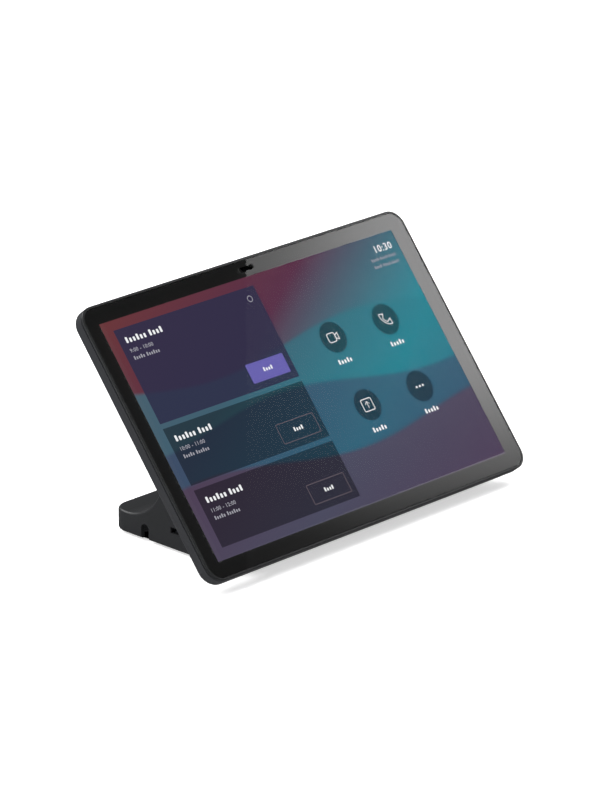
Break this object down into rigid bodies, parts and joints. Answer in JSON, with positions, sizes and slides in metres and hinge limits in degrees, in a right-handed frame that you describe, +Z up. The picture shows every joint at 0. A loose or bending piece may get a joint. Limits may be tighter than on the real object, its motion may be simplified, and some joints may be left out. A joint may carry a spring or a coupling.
{
  "type": "desk touch console",
  "caption": "Tabletop touch console: a tilting glass-fronted screen head on a swept wedge base with a cable bay, cable arch and security slot.",
  "frame": {"origin": "centre of the overall box in plan, on the table under the feet", "axes": "+Z up; +X to the user's right along the screen's width; +Y away from the user, towards the base's rear edge"},
  "size_m": [0.1894, 0.087, 0.1046],
  "materials": {
    "cover_glass": "clear, printed border behind",
    "black_print": "matte ink",
    "film": "clear film",
    "panel": "lit display cell",
    "diffuser": "diffusing film",
    "acrylic": "clear acrylic",
    "led": "phosphor and white solder mask",
    "steel_tray": "pressed steel",
    "adhesive": "foam tape",
    "frame_black": "fine satin",
    "housing_grey": "fine satin texture",
    "base_grey": "fine satin texture",
    "floor_black": "fine texture",
    "lens_black": "infrared-pass black",
    "board_green": "solder mask",
    "graphite": "foil",
    "pad_blue": "soft",
    "tin_can": "tinned",
    "chip_black": "moulded",
    "flex_amber": "polyimide",
    "antenna": "flex print",
    "screw_steel": "nickel plated",
    "hinge_steel": "zinc plated",
    "bronze": "phosphor bronze",
    "chassis_zinc": "zinc plated",
    "socket_shield": "nickel plated",
    "contact_gold": "gold plated",
    "rubber_black": "matte",
    "dark_screw": "black zinc",
    "button_white": "matte",
    "ribbon_white": "flat cable jacket"
  },
  "bodies": {
    "base": {"base_shell": "base_grey", "base_floor": "floor_black", "chassis_plate": "chassis_zinc", "hinge_leaf_base_left": "hinge_steel", "hinge_leaf_base_right": "hinge_steel", "hinge_pin_left": "screw_steel", "hinge_pin_right": "screw_steel", "friction_washers": "bronze", "hinge_screws_base": "screw_steel", "io_board": "board_green", "io_parts": "chip_black", "network_jack_shell": "socket_shield", "network_jack_insert": "floor_black", "network_contacts": "contact_gold", "usb_socket_shell": "socket_shield", "usb_socket_tongue": "floor_black", "lock_plate": "chassis_zinc", "rubber_feet": "rubber_black", "bumper_pads": "rubber_black", "floor_screws": "dark_screw", "io_board_screws": "screw_steel", "reset_switch": "chip_black", "display_ribbon": "ribbon_white"},
    "head": {"cover_glass": "cover_glass", "ink_border": "black_print", "touch_film": "film", "lcd_cell": "panel", "diffuser_films": "diffuser", "light_guide": "acrylic", "led_strip": "led", "backlight_tray": "steel_tray", "glass_adhesive": "adhesive", "front_frame": "frame_black", "rear_housing": "housing_grey", "sensor_window": "lens_black", "sensor_board": "board_green", "heat_spreader": "graphite", "thermal_pad": "pad_blue", "main_board": "board_green", "soc_shield": "tin_can", "board_parts": "chip_black", "lcd_flex": "flex_amber", "wifi_antennas": "antenna", "board_screws": "screw_steel", "hinge_leaf_head_left": "hinge_steel", "hinge_leaf_head_right": "hinge_steel", "hinge_screws_head": "screw_steel"},
    "reset": {"reset_button": "button_white"}
  },
  "joints": [
    {"name": "head_tilt", "type": "hinge", "parent": "base", "child": "head", "pos_m": [0, -0.02832, 0.00578], "axis": [1, 0, 0], "range_deg": [0, 12], "deforming": ["display_ribbon"]},
    {"name": "reset_press", "type": "slide", "parent": "base", "child": "reset", "axis": [0, 0, 1], "range_m": [0, 0.00025], "stiffness_N_per_m": 200}
  ]
}
